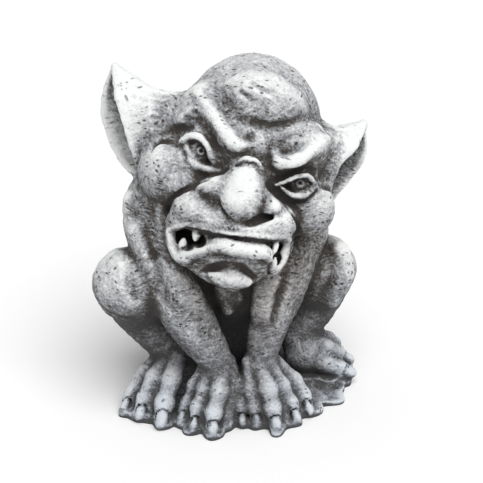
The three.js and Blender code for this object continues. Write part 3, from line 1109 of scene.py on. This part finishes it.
# %% Strokes of the dry brush
BEND = 28 * MM
drift = add("ShaderNodeTexNoise", Vector=where, Scale=1 / (30 * MM), Detail=1.0).outputs["Color"]
bent = add("ShaderNodeVectorMath", {"operation": "MULTIPLY_ADD"}, i0=drift, i1=(BEND,) * 3, i2=where)
brush_way = add("ShaderNodeMapping", Vector=bent.outputs[0], Scale=(1, 1, 2.0)).outputs[0]
stroke_size = {"Scale": 1 / (5 * MM), "Detail": 2.0, "Roughness": 0.6, "Distortion": 0.3}
strokes = add("ShaderNodeTexNoise", Vector=brush_way, **stroke_size).outputs["Fac"]
print("the strokes wander by up to", round(BEND * 1000), "mm")

# %% [markdown]
# ## Small air holes
#
# Air bubbles that were caught against the mould leave small holes. A Voronoi texture gives one point in each
# cell of 5.5 mm. A hole is the middle of a cell, about half of the cells are chosen by their random
# colour, and they are deepest in the worn patches.

# %% Air holes
holes = add("ShaderNodeTexVoronoi", Vector=brush_way, Scale=1 / (5.5 * MM))
draw = add("ShaderNodeSeparateXYZ", Vector=holes.outputs["Color"]).outputs["X"]
chosen = add("ShaderNodeMapRange", SOFT, Value=draw, From_Min=0.45, From_Max=0.55).outputs[0]
round_holes = add("ShaderNodeMapRange", SOFT, Value=holes.outputs["Distance"], From_Min=0.34, From_Max=0.22)
worn = add("ShaderNodeMath", {"operation": "MULTIPLY_ADD"}, i0=patches, i1=0.75, i2=0.25).outputs[0]
pits = add("ShaderNodeMath", {"operation": "MULTIPLY"}, i0=round_holes.outputs[0], i1=chosen).outputs[0]
pits = add("ShaderNodeMath", {"operation": "MULTIPLY"}, i0=pits, i1=worn).outputs[0]
print("a hole is about", round(2 * 0.28 * 5.5, 1), "mm across")

# %% [markdown]
# ## The tone
#
# The tone starts at a middle grey, and each reading moves it by its weight. Hollows take it down, partly
# for the wash that stays there and partly as painted shade. Shelter, cover and faces that look down take
# it down as painted shade. Crests take it up, partly as dry brush and partly as painted highlight, and
# faces that look up take it up as painted light from above.

# %% Add up the tone
height_up = add("ShaderNodeSeparateXYZ", Vector=where).outputs["Z"]
# Towards the ground the stone is made slightly darker, bluer and greyer.
low_down = add("ShaderNodeMapRange", SOFT, Value=height_up, From_Min=130 * MM, From_Max=40 * MM).outputs[0]
# Crisp creases are darkened further, as wash and painted shade.
crease_wash_and_shade = add("ShaderNodeMapRange", SOFT, Value=reading["fine"], From_Min=0.05, From_Max=0.16).outputs[0]
# Faces that look down are darkened, as painted shade.
painted_underside_shade = add("ShaderNodeMath", {"operation": "MINIMUM"}, i0=reading["up"], i1=0.0).outputs[0]
# up lightens the faces that look up, as painted light from above.
WEIGHTS = [
    (reading["fine"], -1.35), (crease_wash_and_shade, -0.16), (reading["fold"], -1.15), (reading["bulk"], -0.9),
    (reading["painted_shade"], -0.47), (reading["height"], 0.07), (reading["up"], 0.33), (painted_underside_shade, 0.16),
    (reading["overhead_shade"], -0.14), (low_down, -0.06),
]
tone = 0.33
for value, weight in WEIGHTS:
    tone = add("ShaderNodeMath", {"operation": "MULTIPLY_ADD"}, i0=value, i1=weight, i2=tone).outputs[0]
print("the tone is the sum of", len(WEIGHTS), "readings")

# %% Break it up with grain
calm_range = {"From_Min": 0.35, "From_Max": 0.85, "To_Min": 1.0, "To_Max": 0.4}
calm = add("ShaderNodeMapRange", SOFT, Value=tone, **calm_range).outputs[0]  # pale places have less grain
grain = 0.0
for noise_value, strength in ((mottle, 0.3), (strokes, 1.1), (grit, 1.0)):
    centred = add("ShaderNodeMath", {"operation": "SUBTRACT"}, i0=noise_value, i1=0.5).outputs[0]
    grain = add("ShaderNodeMath", {"operation": "MULTIPLY_ADD"}, i0=centred, i1=strength, i2=grain).outputs[0]
for value, weight in ((grain, calm), (patches, -0.05), (pits, -0.45)):
    tone = add("ShaderNodeMath", {"operation": "MULTIPLY_ADD"}, i0=value, i1=weight, i2=tone).outputs[0]
print("the tone is broken up by three noises, patches and holes")

# %% From tone to colour
# The dark end of the ramp carries the wash and painted shade, and the pale end carries the dry brush and
# painted light.
ramp = add("ShaderNodeValToRGB", Fac=tone)
STOPS = [
    (0.0, "36322f"), (0.12, "504c49"), (0.28, "6b6b6b"), (0.46, "8f9195"), (0.64, "b6b7b9"), (0.88, "e7e9e8"),
]
stops = ramp.color_ramp.elements
while len(stops) < len(STOPS):
    stops.new(0.5)
for stop, (position, code) in zip(stops, STOPS):
    stop.position = position
    stop.color = colour(code)
print("the ramp has", len(stops), "stops, from wash to dry brush")

# %% [markdown]
# ## Tints and relief
#
# Under overhanging stone the stone is a little browner, as painted shade, and towards the ground it is
# darker, bluer and mixed towards grey, so its contrast is lower there. The grit, the strokes and the holes
# also stand up or sink by about a millimetre, as a bump.

# %% Tints
TINT = {"data_type": "RGBA", "blend_type": "MULTIPLY"}
# Under overhanging stone the colour is tinted browner, as painted shade.
brown_of_overhead_shade = add("ShaderNodeMath", {"operation": "MULTIPLY"}, i0=reading["overhead_shade"], i1=0.8).outputs[0]
grey_mix_near_ground = add("ShaderNodeMath", {"operation": "MULTIPLY"}, i0=low_down, i1=0.16).outputs[0]
warm = add("ShaderNodeMix", TINT, i0=brown_of_overhead_shade, i6=ramp.outputs["Color"], i7=colour("f4ebe2"))
cool = add("ShaderNodeMix", TINT, i0=low_down, i6=warm.outputs[2], i7=colour("eaeff6"))
greyed_near_ground = add("ShaderNodeMix", {"data_type": "RGBA"}, i0=grey_mix_near_ground, i6=cool.outputs[2], i7=colour("7c8188"))
stone.node_tree.links.new(greyed_near_ground.outputs[2], shader.inputs["Base Color"])
print("three tints lie over the ramp")

# %% Relief
relief = 0.0
for value, strength in ((grit, 0.5), (strokes, 0.8), (pits, -0.8)):
    relief = add("ShaderNodeMath", {"operation": "MULTIPLY_ADD"}, i0=value, i1=strength, i2=relief).outputs[0]
bump = add("ShaderNodeBump", Height=relief, Strength=0.8, Distance=1.4 * MM)
stone.node_tree.links.new(bump.outputs[0], shader.inputs["Normal"])
gargoyle.data.materials.append(stone)
print("the finish has", len(stone.node_tree.nodes), "nodes")

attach(gargoyle, "root")
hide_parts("gargoyle")
print("the cast stands in for the gargoyle node")

# %% [markdown]
# ## Floor, light and camera
#
# A plain pale floor, and one large soft light overhead and a little in front, as a softbox in a studio
# gives. A sun light of a wide angle does the same from any distance. The camera stands a little to the
# figure's right and looks down on it with a long lens.

# %% Floor
FLOOR_HALF = 40  # metres from its middle to its edge
floor_shape = bmesh.new()
bmesh.ops.create_grid(floor_shape, x_segments=1, y_segments=1, size=FLOOR_HALF)
floor_mesh = bpy.data.meshes.new("floor")
floor_shape.to_mesh(floor_mesh)
floor_shape.free()
floor = bpy.data.objects.new("floor", floor_mesh)
bpy.context.scene.collection.objects.link(floor)
paint = bpy.data.materials.new("matt_white_paint")
paint.use_nodes = True
dull = paint.node_tree.nodes["Principled BSDF"]
dull.inputs["Base Color"].default_value = colour("f4f4f4")
dull.inputs["Roughness"].default_value = 0.9
floor.data.materials.append(paint)
print("the floor is", floor.dimensions.x, "m wide")

# %% Lights
bpy.context.scene.view_settings.view_transform = "Standard"
world = bpy.data.worlds.new("studio")
bpy.context.scene.world = world
world.use_nodes = True
surround = world.node_tree.nodes["Background"]
surround.inputs["Color"].default_value = colour("ffffff")
surround.inputs["Strength"].default_value = 0.45

softbox = bpy.data.lights.new("softbox", "SUN")
softbox.energy = 2.5
softbox.angle = math.radians(50)
overhead = bpy.data.objects.new("softbox", softbox)
overhead.rotation_euler = Vector((0.12, -0.5, 1)).to_track_quat("Z", "Y").to_euler()
bpy.context.scene.collection.objects.link(overhead)
print("the softbox is", round(math.degrees(softbox.angle)), "degrees wide")

# %% Camera
AZIMUTH, ELEVATION, DISTANCE = -12, 25, 0.9
TARGET = Vector((0, -28, 150)) * MM
around, above = math.radians(AZIMUTH), math.radians(ELEVATION)
away = Vector((math.sin(around) * math.cos(above), -math.cos(around) * math.cos(above), math.sin(above)))
lens = bpy.data.cameras.new("camera")
lens.lens = 82.4
lens.sensor_width = 36
camera = bpy.data.objects.new("camera", lens)
camera.location = TARGET + away * DISTANCE
camera.rotation_euler = (-away).to_track_quat("-Z", "Y").to_euler()
bpy.context.scene.collection.objects.link(camera)
bpy.context.scene.camera = camera
print("the camera is", DISTANCE, "m away with a", round(lens.lens, 1), "mm lens")
